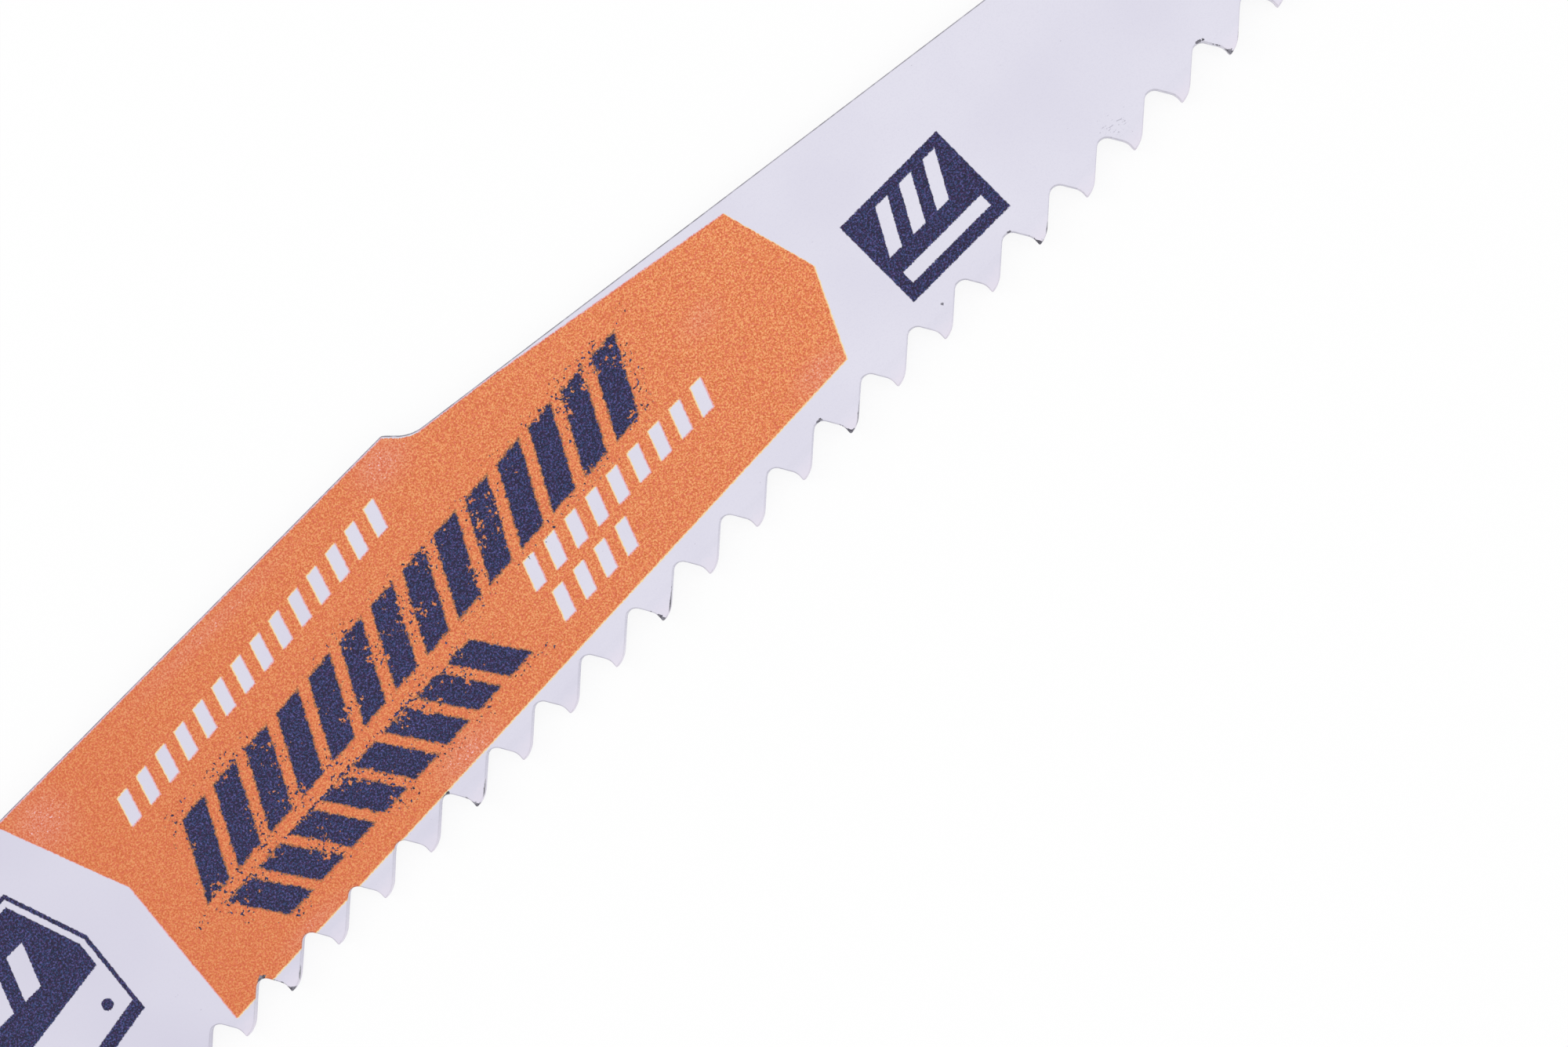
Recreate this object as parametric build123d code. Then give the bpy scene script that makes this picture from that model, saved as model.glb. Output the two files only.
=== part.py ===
from build123d import *
from math import cos, radians, sin, tan
import os

# Reciprocating saw blade, 9 in long, 1 in tall, 5 teeth to the inch, with a milled and set edge.
#
# The blade is one piece of steel strip. It lies flat: X runs from the tang to the nose, the teeth
# point to -Y, the plain back faces +Y and the thickness runs along Z. The origin is the centre of
# the tang hole, at mid thickness. All sizes are in millimetres and all angles in degrees.

# Strip
overall_length = 228.6
blade_height = 25.4
thickness = 1.57
edge_round = 0.15

# Tang
tang_width = 12.7
tang_length = 22.2
tang_corner = 1.8
tang_hole_diameter = 5.1
tang_hole_to_end = 8.7
tang_axis_height = 12.7
tooth_shoulder_angle = 52.0
back_shoulder_angle = 40.0
shoulder_throat_radius = 3.0
shoulder_crest_radius = 6.0
shoulder_heel_radius = 3.5

# Back edge
step_from_nose = 102.6
step_depth = 1.6
step_angle = 45.0
step_fillet_radius = 3.5
step_corner_radius = 0.4
taper_angle = 7.95

# Nose
nose_lean = 22.0
nose_crest_radius = 4.5
nose_toe_radius = 1.6
nose_land = 5.8

# Tooth form
tooth_pitch = 5.08
hook_angle = 3.0
rake_face_height = 0.80
throat_angle = 30.3
gullet_radius = 0.79
relief_angle = 41.7
heel_radius = 2.3
heel_angle = 3.6
heel_land = 3.5

# Tooth set
set_angle = 10.0
set_bend_radius = 3.0
set_bend_share = 0.78
set_pattern = (-1, 0, 1, 0)

# The most of its wall that each round may take
tooth_shoulder_share = 0.5
shoulder_crest_share = 0.6
shoulder_throat_share = 0.35
step_fillet_share = 0.8
nose_crest_share = 0.9


def towards(angle):
    """Unit vector at an angle from +X, in the plane of the strip."""
    return Vector(cos(radians(angle)), sin(radians(angle)))


def radius_in(room, radius, turn):
    """The radius of a round that turns a corner, kept small enough for the room on its wall."""
    return min(radius, room / tan(radians(turn) / 2))


# Places that follow from the sizes above
tang_end_x = -tang_hole_to_end
nose_x = tang_end_x + overall_length
shoulder_x = tang_end_x + tang_length
tip_y = -tang_axis_height
back_y = tip_y + blade_height
tang_half = tang_width / 2
tooth_shoulder_x = shoulder_x + (tang_axis_height - tang_half) / tan(radians(tooth_shoulder_angle))
back_shoulder_x = shoulder_x + (back_y - tang_half) / tan(radians(back_shoulder_angle))
step_x = nose_x - step_from_nose
step_foot_x = step_x + step_depth / tan(radians(step_angle))
step_foot_y = back_y - step_depth
step_wall = step_depth / sin(radians(step_angle))
tooth_shoulder_wall = (tang_axis_height - tang_half) / sin(radians(tooth_shoulder_angle))
back_shoulder_wall = (back_y - tang_half) / sin(radians(back_shoulder_angle))

# The nose: its front leans back from the toe until it meets the tapered back. The toe's sharp
# corner stands ahead of the nose, so that the rounded toe ends at the overall length
toe_half_angle = radians(90 - nose_lean) / 2
toe_x = nose_x + nose_toe_radius * (1 / tan(toe_half_angle) - 1)
taper_slope = tan(radians(taper_angle))
lean_slope = tan(radians(nose_lean))
toe_to_back = step_foot_y - (toe_x - step_foot_x) * taper_slope - tip_y
front_height = toe_to_back / (1 - lean_slope * taper_slope)
crest_x = toe_x - front_height * lean_slope
crest_y = tip_y + front_height
front_wall = front_height / cos(radians(nose_lean)) - nose_toe_radius / tan(toe_half_angle)

# The teeth are counted back from the nose, as many as the edge holds
last_tip_x = nose_x - nose_land
toothed_length = last_tip_x - tooth_shoulder_x - heel_land
tooth_count = int(toothed_length / tooth_pitch)
first_tip_x = last_tip_x - (tooth_count - 1) * tooth_pitch
tips = [first_tip_x + number * tooth_pitch for number in range(tooth_count)]


def gullet_points(tip_x):
    """Centres, ends and corners along the gullet that ends at the tooth whose tip is at tip_x."""
    previous_tip = Vector(tip_x - tooth_pitch, tip_y)
    heel_centre = previous_tip - towards(heel_angle - 90) * heel_radius
    heel_end = heel_centre + towards(relief_angle - 90) * heel_radius
    face_top = Vector(tip_x, tip_y) + towards(90 - hook_angle) * rake_face_height
    # The arc touches the relief, whose normal is `down`, and the throat, whose normal is `back`
    down = towards(relief_angle - 90)
    back = towards(180 + throat_angle)
    along_relief = gullet_radius + heel_end.dot(down)
    along_throat = gullet_radius + face_top.dot(back)
    spread = down.X * back.Y - down.Y * back.X
    centre = Vector(
        (along_relief * back.Y - along_throat * down.Y) / spread,
        (along_throat * down.X - along_relief * back.X) / spread,
    )
    relief_end = centre - down * gullet_radius
    throat_start = centre - back * gullet_radius
    return heel_centre, heel_end, relief_end, centre, throat_start, face_top


gullet_centre = gullet_points(first_tip_x)[3]
gullet_depth = gullet_centre.Y + gullet_radius - tip_y
gullet_back = gullet_centre.X - first_tip_x
bend_y = tip_y + gullet_depth * set_bend_share
strip_gap = gullet_radius / 4
waste_y = tip_y - 2 * gullet_depth


def blank():
    """Strip cut to its outline, with its edges broken and the tang hole drilled, but no teeth."""
    tooth_room = tooth_shoulder_wall * tooth_shoulder_share
    crest_room = back_shoulder_wall * shoulder_crest_share
    throat_room = back_shoulder_wall * shoulder_throat_share
    step_room = step_wall * step_fillet_share
    front_room = front_wall * nose_crest_share
    heel_round = radius_in(tooth_room, shoulder_heel_radius, tooth_shoulder_angle)
    tooth_throat = radius_in(tooth_room, shoulder_throat_radius, tooth_shoulder_angle)
    back_round = radius_in(crest_room, shoulder_crest_radius, back_shoulder_angle)
    back_throat = radius_in(throat_room, shoulder_throat_radius, back_shoulder_angle)
    step_round = radius_in(step_room, step_fillet_radius, step_angle - taper_angle)
    crest_round = radius_in(front_room, nose_crest_radius, 90 - nose_lean - taper_angle)
    corners = [
        ((tooth_shoulder_x, tip_y), heel_round),
        ((toe_x, tip_y), nose_toe_radius),
        ((crest_x, crest_y), crest_round),
        ((step_foot_x, step_foot_y), step_round),
        ((step_x, back_y), step_corner_radius),
        ((back_shoulder_x, back_y), back_round),
        ((shoulder_x, tang_half), back_throat),
        ((tang_end_x + tang_corner, tang_half), 0),
        ((tang_end_x, tang_half - tang_corner), 0),
        ((tang_end_x, tang_corner - tang_half), 0),
        ((tang_end_x + tang_corner, -tang_half), 0),
        ((shoulder_x, -tang_half), tooth_throat),
    ]
    points = [point for point, radius in corners]
    radii = [radius for point, radius in corners]
    outline = make_face(FilletPolyline(*points, radius=radii, close=True).edges())
    strip = extrude(outline, thickness / 2, both=True)
    faces = strip.faces().sort_by(Axis.Z)
    strip = fillet(faces[0].edges() + faces[-1].edges(), edge_round)
    return strip - Cylinder(tang_hole_diameter / 2, 2 * thickness)


def tooth_strip(side):
    """One pitch of strip below the bend line, bent by the set angle to one side, or left flat."""
    reach = gullet_depth + thickness
    width = tooth_pitch - strip_gap
    if side == 0:
        size = (width, reach, thickness)
        return Pos(0, bend_y, 0) * Box(*size, align=(Align.MIN, Align.MAX, Align.CENTER))
    bend_centre = (bend_y, set_bend_radius)
    near = CenterArc(bend_centre, set_bend_radius - thickness / 2, 270, -set_angle)
    far = CenterArc(bend_centre, set_bend_radius + thickness / 2, 270, -set_angle)
    near_leg = Line(near @ 1, near @ 1 + (near % 1) * reach)
    far_leg = Line(far @ 1, far @ 1 + (far % 1) * reach)
    ends = [Line(near @ 0, far @ 0), Line(near_leg @ 1, far_leg @ 1)]
    section = Plane.YZ * make_face([near, far, near_leg, far_leg] + ends)
    strip = extrude(section, width, dir=(1, 0, 0))
    return strip if side > 0 else mirror(strip, about=Plane.XY)


def set_strip():
    """The blank with its lower edge bent tooth by tooth. The last tooth stays flat, at the nose."""
    band_start = first_tip_x + gullet_back
    band_end = last_tip_x + gullet_back
    band = Pos(band_start, bend_y, 0) * Box(
        band_end - band_start,
        gullet_depth + thickness,
        2 * thickness,
        align=(Align.MIN, Align.MAX, Align.CENTER),
    )
    strips = {side: tooth_strip(side) for side in set(set_pattern)}
    row = []
    for number, tip_x in enumerate(tips[:-1]):
        side = set_pattern[number % len(set_pattern)]
        row.append(Pos(tip_x + gullet_back + strip_gap / 2, 0, 0) * strips[side])
    return blank() - band + row


def tooth_waste():
    """What the cutter mills away: every gullet, and all that hangs below the tooth line."""
    edges = []
    for tip_x in tips:
        heel_centre, heel_end, relief_end, centre, throat_start, face_top = gullet_points(tip_x)
        if tip_x == tips[0]:
            # The first relief runs straight out through the land before it
            run_out = (heel_end.Y - waste_y) / sin(radians(relief_angle))
            heel_end = heel_end - towards(relief_angle) * run_out
            start = heel_end
        else:
            edges.append(CenterArc(heel_centre, heel_radius, heel_angle - 90, relief_angle - heel_angle))
        edges.append(Line(heel_end, relief_end))
        edges.append(ThreePointArc(relief_end, centre + Vector(0, gullet_radius), throat_start))
        edges.append(Line(throat_start, face_top))
        if tip_x == tips[-1]:
            run_out = (face_top.Y - waste_y) / cos(radians(hook_angle))
            end = face_top - towards(90 - hook_angle) * run_out
        else:
            end = Vector(tip_x, tip_y)
        edges.append(Line(face_top, end))
    edges.append(Line(end, start))
    return extrude(make_face(edges), blade_height, both=True)


def saw_blade():
    """The finished blade, one piece of steel from the tang to the nose."""
    return set_strip() - tooth_waste()


os.makedirs("parts", exist_ok=True)
export_step(saw_blade(), "parts/blade.step")
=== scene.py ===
from math import acos, atan2, cos, degrees, radians, sin, tan

import bmesh
import bpy
from mathutils import Euler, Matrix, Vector


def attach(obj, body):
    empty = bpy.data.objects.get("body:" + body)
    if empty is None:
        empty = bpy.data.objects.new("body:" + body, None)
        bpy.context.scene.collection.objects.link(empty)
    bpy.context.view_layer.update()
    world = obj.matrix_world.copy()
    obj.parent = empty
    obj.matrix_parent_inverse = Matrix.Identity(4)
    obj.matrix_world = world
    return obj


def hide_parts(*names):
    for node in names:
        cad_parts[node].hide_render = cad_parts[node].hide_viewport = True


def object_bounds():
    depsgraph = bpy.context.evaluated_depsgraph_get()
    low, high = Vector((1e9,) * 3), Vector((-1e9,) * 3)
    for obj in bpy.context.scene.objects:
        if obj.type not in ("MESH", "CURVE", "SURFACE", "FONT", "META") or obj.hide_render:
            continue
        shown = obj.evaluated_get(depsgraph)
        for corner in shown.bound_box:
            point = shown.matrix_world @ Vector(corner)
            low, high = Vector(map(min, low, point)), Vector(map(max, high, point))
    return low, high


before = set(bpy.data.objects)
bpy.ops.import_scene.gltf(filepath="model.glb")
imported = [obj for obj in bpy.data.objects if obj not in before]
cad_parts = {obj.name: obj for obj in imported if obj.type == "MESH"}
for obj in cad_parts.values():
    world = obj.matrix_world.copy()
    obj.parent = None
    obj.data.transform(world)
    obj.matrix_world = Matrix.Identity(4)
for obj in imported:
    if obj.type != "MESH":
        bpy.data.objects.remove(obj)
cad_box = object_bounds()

# Reciprocating saw blade with its printed face up. Sizes are in millimetres until a mesh is made
MM = 0.001

# Strip, tang and hole
overall_length = 228.6
blade_height = 25.4
thickness = 1.57
tang_width = 12.7
tang_length = 22.2
tang_corner = 1.8
tang_hole_diameter = 5.1
tang_hole_to_end = 8.7
tooth_shoulder_angle = 52.0
back_shoulder_angle = 40.0
shoulder_throat_radius = 3.0
shoulder_crest_radius = 6.0
shoulder_heel_radius = 3.5

# Back edge and nose
step_from_nose = 102.6
step_depth = 1.6
step_angle = 45.0
step_fillet_radius = 3.5
step_corner_radius = 0.4
taper_angle = 7.95
nose_lean = 22.0
nose_crest_radius = 4.5
nose_toe_radius = 1.6
nose_land = 5.8

# Teeth and their set
tooth_pitch = 5.08
tooth_count = 37
hook_angle = 3.0
rake_face_height = 0.80
throat_angle = 30.3
gullet_radius = 0.79
relief_angle = 41.7
heel_radius = 2.3
heel_angle = 3.6
set_angle = 10.0
set_bend_radius = 3.0
set_bend_share = 0.78
strip_above_gullets = 0.9

# Finish
edge_break = 0.12
rake_round = 1.2
weld_distance = 0.002
paint_specular = 0.35
ink_roughness = 0.47
steel_roughness = 0.36
steel_metal = 0.8

# Steps round a gullet and a tooth, and the columns where the body is parted
throat_steps, rake_steps, heel_steps, relief_steps = 6, 4, 7, 5
first_cut, second_cut = 7, 22

# Places that follow
tang_end_x = -tang_hole_to_end
nose_x = tang_end_x + overall_length
shoulder_x = tang_end_x + tang_length
tip_y = -blade_height / 2
back_y = blade_height / 2
tang_half = tang_width / 2
half_thick = thickness / 2
step_x = nose_x - step_from_nose
step_foot_x = step_x + step_depth
step_foot_y = back_y - step_depth
taper_slope = tan(radians(taper_angle))
last_tip_x = nose_x - nose_land
first_tip_x = last_tip_x - (tooth_count - 1) * tooth_pitch


def towards(angle):
    """Unit vector at an angle from +X, as a pair."""
    return cos(radians(angle)), sin(radians(angle))


def moved(point, direction, distance):
    """A point moved along a direction."""
    return point[0] + direction[0] * distance, point[1] + direction[1] * distance


# Outline


def arc(centre, radius, start, end, steps):
    """Points along an arc, both ends included, from one angle to the other."""
    angles = [start + (end - start) * step / steps for step in range(steps + 1)]
    return [moved(centre, towards(angle), radius) for angle in angles]


def rounded(before, corner, after, radius, steps):
    """The points that round one corner of an outline."""
    if radius == 0:
        return [corner]
    back = Vector(before) - Vector(corner)
    ahead = Vector(after) - Vector(corner)
    back.normalize()
    ahead.normalize()
    half = acos(max(-1, min(1, back.dot(ahead)))) / 2
    reach = radius / tan(half)
    middle = (back + ahead).normalized() * (radius / sin(half))
    centre = Vector(corner) + middle
    start = Vector(corner) + back * reach - centre
    end = Vector(corner) + ahead * reach - centre
    first = degrees(atan2(start.y, start.x))
    sweep = degrees(atan2(end.y, end.x)) - first
    sweep = (sweep + 180) % 360 - 180
    return arc(centre, radius, first, first + sweep, steps)


def rounded_run(corners):
    """Points along a row of (corner, radius, steps); its first and last corner stay sharp."""
    points = [corners[0][0]]
    for number in range(1, len(corners) - 1):
        corner, radius, steps = corners[number]
        points += rounded(corners[number - 1][0], corner, corners[number + 1][0], radius, steps)
    points.append(corners[-1][0])
    return points


def gullet():
    """Centre of the gullet before a tooth whose tip is at X 0, and the ends of its flanks."""
    down = towards(relief_angle - 90)
    back = towards(180 + throat_angle)
    heel_centre = moved((-tooth_pitch, tip_y), towards(heel_angle - 90), -heel_radius)
    heel_end = moved(heel_centre, down, heel_radius)
    face_top = moved((0, tip_y), towards(90 - hook_angle), rake_face_height)
    along_relief = gullet_radius + heel_end[0] * down[0] + heel_end[1] * down[1]
    along_throat = gullet_radius + face_top[0] * back[0] + face_top[1] * back[1]
    spread = down[0] * back[1] - down[1] * back[0]
    centre = (
        (along_relief * back[1] - along_throat * down[1]) / spread,
        (along_throat * down[0] - along_relief * back[0]) / spread,
    )
    return centre, heel_centre, face_top


gullet_centre, heel_centre_before, rake_top = gullet()
gullet_back = gullet_centre[0]
gullet_top = gullet_centre[1] + gullet_radius
gullet_depth = gullet_top - tip_y
bend_y = tip_y + gullet_depth * set_bend_share
row_top = gullet_top + strip_above_gullets

# Columns at the gullets' middles, where one tooth ends and the next begins
columns = [first_tip_x + gullet_back + number * tooth_pitch for number in range(tooth_count)]


def throat_side(tip_x):
    """From the top of the gullet before a tooth down its throat and rake face to its tip."""
    centre = (tip_x + gullet_centre[0], gullet_centre[1])
    points = arc(centre, gullet_radius, 90, throat_angle, throat_steps)
    corner = (tip_x + rake_top[0], rake_top[1])
    points += rounded(points[-1], corner, (tip_x, tip_y), rake_round, rake_steps)
    points.append((tip_x, tip_y))
    return points


def relief_side(tip_x):
    """From a tooth's tip along its heel and relief up to the top of the next gullet."""
    centre = (tip_x + tooth_pitch + heel_centre_before[0], heel_centre_before[1])
    points = arc(centre, heel_radius, heel_angle - 90, relief_angle - 90, heel_steps)
    points[0] = (tip_x, tip_y)
    following = (tip_x + tooth_pitch + gullet_centre[0], gullet_centre[1])
    points += arc(following, gullet_radius, relief_angle + 90, 90, relief_steps)
    return points


def taper_y(x):
    """Height of the tapered back at a place along the blade."""
    return step_foot_y - (x - step_foot_x) * taper_slope


def with_levels(points, levels):
    """The same run of points, with one more wherever it crosses a level."""
    out = [points[0]]
    for start, end in zip(points, points[1:]):
        crossed = []
        for level in levels:
            if (start[1] - level) * (end[1] - level) < 0:
                share = (level - start[1]) / (end[1] - start[1])
                crossed.append((share, (start[0] + (end[0] - start[0]) * share, level)))
        out += [point for share, point in sorted(crossed)]
        out.append(end)
    return out


# Plates


def added(name, data):
    """A new object in the scene."""
    piece = bpy.data.objects.new(name, data)
    bpy.context.scene.collection.objects.link(piece)
    return piece


def plate(name, polygons, closed):
    """A mesh of strip as thick as the blade from outlines seen from above. A wall stands on each
    edge that only one outline has, unless closed(start, end) says that a neighbour joins there."""
    mesh = bpy.data.meshes.new(name)
    work = bmesh.new()
    made = {}

    def vertex(point, level):
        key = (round(point[0], 5), round(point[1], 5), level)
        if key not in made:
            made[key] = work.verts.new((point[0] * MM, point[1] * MM, level * half_thick * MM))
        return made[key]

    def edge_key(start, end):
        return tuple(round(value, 5) for value in start + end)

    edges = {}
    for polygon in polygons:
        work.faces.new([vertex(point, 1) for point in polygon])
        work.faces.new([vertex(point, -1) for point in reversed(polygon)])
        for start, end in zip(polygon, polygon[1:] + polygon[:1]):
            edges[edge_key(start, end)] = (start, end)
    for start, end in edges.values():
        if edge_key(end, start) in edges or closed(start, end):
            continue
        work.faces.new([vertex(start, -1), vertex(end, -1), vertex(end, 1), vertex(start, 1)])
    work.to_mesh(mesh)
    work.free()
    return added(name, mesh)


def tooth_plate():
    """One tooth, from gullet to gullet, in slices that let it bend where it is set."""
    near = (set_bend_radius - half_thick) * sin(radians(set_angle))
    far = (set_bend_radius + half_thick) * sin(radians(set_angle))
    depths = [0, near / 3, near * 2 / 3, near, (near + far) / 2, far]
    levels = [bend_y - depth for depth in depths]
    falling = with_levels(throat_side(0), levels)
    rising = with_levels(relief_side(0), levels)
    left, right = falling[0][0], rising[-1][0]

    def between(points, low, high):
        return [point for point in points if low - 1e-9 <= point[1] <= high + 1e-9]

    polygons = []
    for upper, lower in zip([row_top] + levels, levels + [tip_y]):
        polygons.append(between(falling, lower, upper) + between(rising, lower, upper))
    polygons[0] = [(left, row_top)] + polygons[0] + [(right, row_top)]
    polygons[-1].remove((0, tip_y))

    def closed(start, end):
        """Whether the next tooth or the body joins there."""
        same_side = abs(start[0] - end[0]) < 1e-6 and min(start[1], end[1]) > gullet_top - 1e-6
        return same_side or min(start[1], end[1]) > row_top - 1e-6

    return plate("tooth", polygons, closed)


def body_plate():
    """The blade behind its teeth: heel and tang, three lengths of body, and the nose."""
    tooth_shoulder_x = shoulder_x + (back_y - tang_half) / tan(radians(tooth_shoulder_angle))
    back_shoulder_x = shoulder_x + (back_y - tang_half) / tan(radians(back_shoulder_angle))
    tang_foot = (tang_end_x, tang_corner - tang_half)
    tang_head = (tang_end_x, tang_half - tang_corner)
    first_relief = relief_side(first_tip_x - tooth_pitch)[heel_steps:]
    reach = (first_relief[1][1] - tip_y) / tan(radians(relief_angle))
    land_end = (first_relief[1][0] - reach, tip_y)
    hole = tang_hole_diameter / 2
    row_start, row_end = columns[0], columns[-1]
    parting, far_parting = columns[first_cut], columns[second_cut]

    # The heel and the tang, in two halves that meet at the hole
    lower = rounded_run([
        (tang_foot, 0, 1),
        ((tang_end_x + tang_corner, -tang_half), 0, 1),
        ((shoulder_x, -tang_half), shoulder_throat_radius, 10),
        ((tooth_shoulder_x, tip_y), shoulder_heel_radius, 12),
        (land_end, 0, 1),
    ])
    heel_lower = [(tang_end_x, 0)] + lower + first_relief[1:]
    heel_lower += [(row_start, row_top), (row_start, 0)] + arc((0, 0), hole, 0, -180, 24)
    upper = rounded_run([
        ((row_start, back_y), 0, 1),
        ((back_shoulder_x, back_y), shoulder_crest_radius, 12),
        ((shoulder_x, tang_half), shoulder_throat_radius, 10),
        ((tang_end_x + tang_corner, tang_half), 0, 1),
        (tang_head, 0, 1),
    ])
    heel_upper = [(tang_end_x, 0)] + arc((0, 0), hole, 180, 0, 24) + [(row_start, 0)] + upper

    # Three lengths of body, parted above the gullets
    first = [(x, row_top) for x in columns[: first_cut + 1]]
    first += [(parting, back_y), (row_start, back_y), (row_start, 0)]
    back = rounded_run([
        ((far_parting, taper_y(far_parting)), 0, 1),
        ((step_foot_x, step_foot_y), step_fillet_radius, 8),
        ((step_x, back_y), step_corner_radius, 6),
        ((parting, back_y), 0, 1),
    ])
    second = [(x, row_top) for x in columns[first_cut : second_cut + 1]] + back
    third = [(x, row_top) for x in columns[second_cut:]]
    third += [(x, taper_y(x)) for x in (row_end, far_parting)]

    # The nose: its toe's sharp corner stands ahead, so that the round ends at the overall length
    toe_half_angle = radians(90 - nose_lean) / 2
    toe_x = nose_x + nose_toe_radius * (1 / tan(toe_half_angle) - 1)
    lean_slope = tan(radians(nose_lean))
    front_height = (taper_y(toe_x) - tip_y) / (1 - lean_slope * taper_slope)
    crest = (toe_x - front_height * lean_slope, tip_y + front_height)
    front = rounded_run([
        ((last_tip_x, tip_y), 0, 1),
        ((toe_x, tip_y), nose_toe_radius, 14),
        (crest, nose_crest_radius, 12),
        ((row_end, taper_y(row_end)), 0, 1),
    ])
    nose = [(row_end, row_top)] + throat_side(last_tip_x)[:-1] + front

    def closed(start, end):
        """Whether the toothed row is welded on there."""
        beside_row = abs(start[0] - end[0]) < 1e-6 and max(start[1], end[1]) < row_top + 1e-6
        under_row = start[1] == row_top and end[1] == row_top
        at_end = min(abs(start[0] - row_start), abs(start[0] - row_end)) < 1e-6
        return beside_row and at_end or under_row

    return plate("body", [heel_lower, heel_upper, first, second, third, nose], closed)


# Toothed edge by geometry nodes


class Bench:
    """Places nodes in one tree and joins them. A value may be a number or another node's socket."""

    def __init__(self, tree):
        self.tree = tree
        self.made = 0

    def place(self, kind, **settings):
        """A new node with its settings, laid out after the last one, twelve to a row."""
        node = self.tree.nodes.new(kind)
        node.location = (220 * (self.made % 12), -240 * (self.made // 12))
        self.made += 1
        for setting, value in settings.items():
            setattr(node, setting, value)
        return node

    def feed(self, socket, value):
        """Joins a socket to another node's, or sets it."""
        if isinstance(value, bpy.types.NodeSocket):
            self.tree.links.new(value, socket)
        else:
            socket.default_value = value

    def fill(self, node, **values):
        """Feeds a node's named inputs, an underscore for each space, and gives its outputs."""
        for name, value in values.items():
            self.feed(node.inputs[name.replace("_", " ")], value)
        return node.outputs

    def maths(self, operation, *values):
        node = self.place("ShaderNodeMath", operation=operation)
        for socket, value in zip(node.inputs, values):
            self.feed(socket, value)
        return node.outputs[0]

    def minus(self, first, second):
        return self.maths("SUBTRACT", first, second)

    def fold(self, operation, values):
        """One value from many, by the same operation on each in turn."""
        out = values[0]
        for value in values[1:]:
            out = self.maths(operation, out, value)
        return out

    def total(self, *values):
        return self.fold("ADD", values)

    def product(self, *values):
        return self.fold("MULTIPLY", values)

    def least(self, *values):
        return self.fold("MINIMUM", values)

    def most(self, *values):
        return self.fold("MAXIMUM", values)

    def ramp(self, value, low, high, out_low=0.0, out_high=1.0, smooth=False):
        """Runs from out_low to out_high while a value runs from low to high, and stays there."""
        node = self.place("ShaderNodeMapRange", clamp=True)
        node.interpolation_type = "SMOOTHSTEP" if smooth else "LINEAR"
        for socket, number in zip(node.inputs, (value, low, high, out_low, out_high)):
            self.feed(socket, number)
        return node.outputs["Result"]

    def axes(self, vector):
        return self.fill(self.place("ShaderNodeSeparateXYZ"), Vector=vector)

    def vector(self, x=0.0, y=0.0, z=0.0):
        return self.fill(self.place("ShaderNodeCombineXYZ"), X=x, Y=y, Z=z)[0]

    def shift(self, operation, first, second):
        node = self.place("ShaderNodeVectorMath", operation=operation)
        self.feed(node.inputs[0], first)
        self.feed(node.inputs["Scale"] if operation == "SCALE" else node.inputs[1], second)
        return node.outputs[0]


def add_socket(tree, name, side, kind):
    """A new named socket on one side of a node group."""
    return tree.interface.new_socket(name, in_out=side, socket_type="NodeSocket" + kind)


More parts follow.
